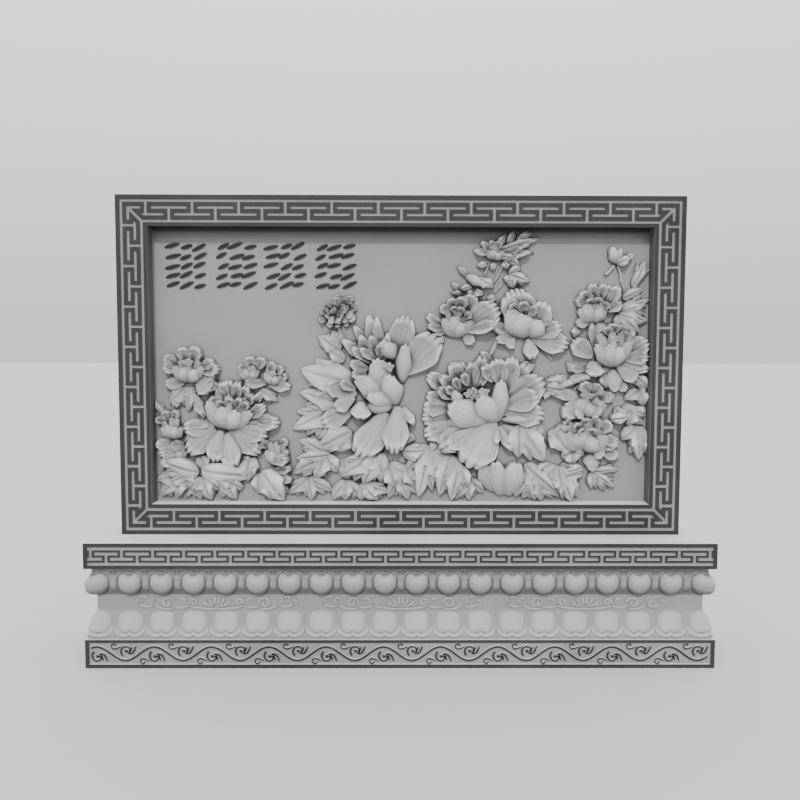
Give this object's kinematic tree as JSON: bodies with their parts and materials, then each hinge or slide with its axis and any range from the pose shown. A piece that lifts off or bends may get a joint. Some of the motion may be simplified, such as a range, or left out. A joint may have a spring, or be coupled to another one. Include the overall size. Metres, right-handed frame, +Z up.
{
  "type": "carved stone screen wall",
  "caption": "Free-standing stone screen wall: a peony relief in a frame cut with a key pattern, standing on a moulded lotus-petal base.",
  "frame": {"origin": "middle of the underside of the base, on the ground", "axes": "+X to the right along the wall, +Y from the carved front towards the plain back, +Z up"},
  "size_m": [3, 0.54, 2.254],
  "materials": {
    "dark_stone": "honed faces with a pale chiselled pattern",
    "pale_stone": "fine chiselled and sanded",
    "carved_stone": "hand carved and sanded"
  },
  "bodies": {
    "root": {"plinth_slab": "dark_stone", "lotus_block_left": "pale_stone", "lotus_block_middle": "pale_stone", "lotus_block_right": "pale_stone", "top_slab": "dark_stone", "frame_bottom": "dark_stone", "frame_top": "dark_stone", "frame_left": "dark_stone", "frame_right": "dark_stone", "relief_panel": "carved_stone"}
  },
  "joints": []
}
